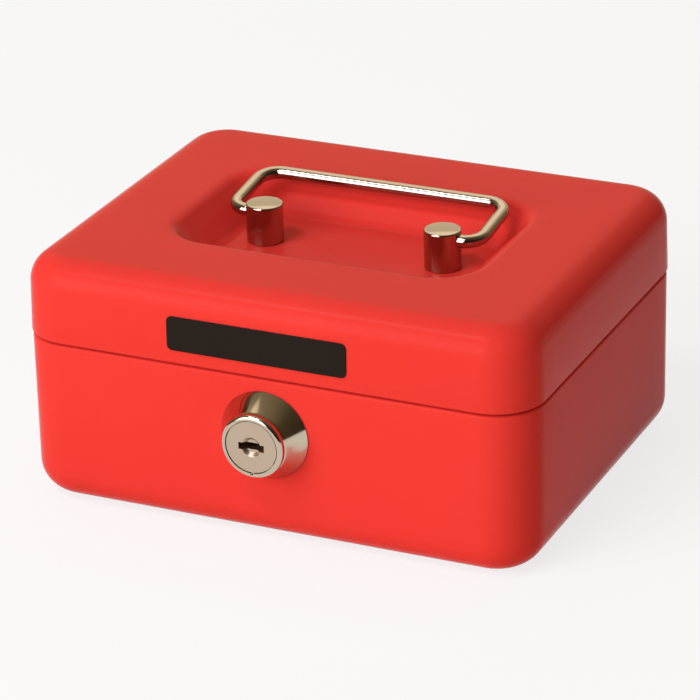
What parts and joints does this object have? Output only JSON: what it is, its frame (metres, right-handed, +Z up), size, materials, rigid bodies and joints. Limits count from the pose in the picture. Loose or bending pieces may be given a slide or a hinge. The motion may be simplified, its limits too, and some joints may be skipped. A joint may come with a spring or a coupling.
{
  "type": "cash box",
  "caption": "Small painted steel cash box with a hinged lid, a wire bail in a top recess, a front cam lock and a coin tray.",
  "frame": {"origin": "centre of the flat underside", "axes": "+X to the right seen from the lock side, +Y to the rear, +Z up; the lock faces -Y"},
  "size_m": [0.1526, 0.1305, 0.0755],
  "materials": {
    "red_paint": "semi-gloss powder coat",
    "chrome": "bright chrome plate",
    "zinc_steel": "bright zinc plate",
    "brass": "stamped brass",
    "tray_plastic": "moulded, fine grain",
    "badge_black": "satin black"
  },
  "bodies": {
    "base": {"base_shell": "red_paint", "hinge_leaf_base": "red_paint", "hinge_pin": "zinc_steel", "lock_escutcheon": "chrome", "lock_barrel": "chrome", "lock_washer": "zinc_steel", "lock_nut": "zinc_steel", "tray_rest_left": "red_paint", "tray_rest_right": "red_paint"},
    "lid": {"lid_shell": "red_paint", "hinge_leaf_lid": "red_paint", "keeper": "zinc_steel", "badge_plate": "badge_black", "handle_post_left": "chrome", "handle_post_right": "chrome", "post_screws": "zinc_steel", "post_washers": "zinc_steel"},
    "bail": {"bail_handle": "chrome"},
    "plug": {"lock_plug": "chrome", "lock_cam": "zinc_steel", "cam_washer": "zinc_steel", "cam_screw": "zinc_steel"},
    "wafers": {"lock_wafers": "brass"},
    "tray": {"coin_tray": "tray_plastic"}
  },
  "joints": [
    {"name": "lid_hinge", "type": "hinge", "parent": "base", "child": "lid", "pos_m": [0, 0.0592, 0.0475], "axis": [-1, 0, 0], "range_deg": [0, 105]},
    {"name": "bail_swing", "type": "hinge", "parent": "lid", "child": "bail", "pos_m": [0, 0, 0.0706], "axis": [1, 0, 0], "range_deg": [-12, 177]},
    {"name": "lock_turn", "type": "hinge", "parent": "base", "child": "plug", "pos_m": [0, -0.0602, 0.0322], "axis": [0, 1, 0], "range_deg": [0, 90]},
    {"name": "wafer_slide", "type": "slide", "parent": "plug", "child": "wafers", "axis": [1, 0, 0], "range_m": [0, 0.0008]},
    {"name": "tray_lift", "type": "slide", "parent": "base", "child": "tray", "axis": [0, 0, 1], "range_m": [0, 0.008]}
  ]
}
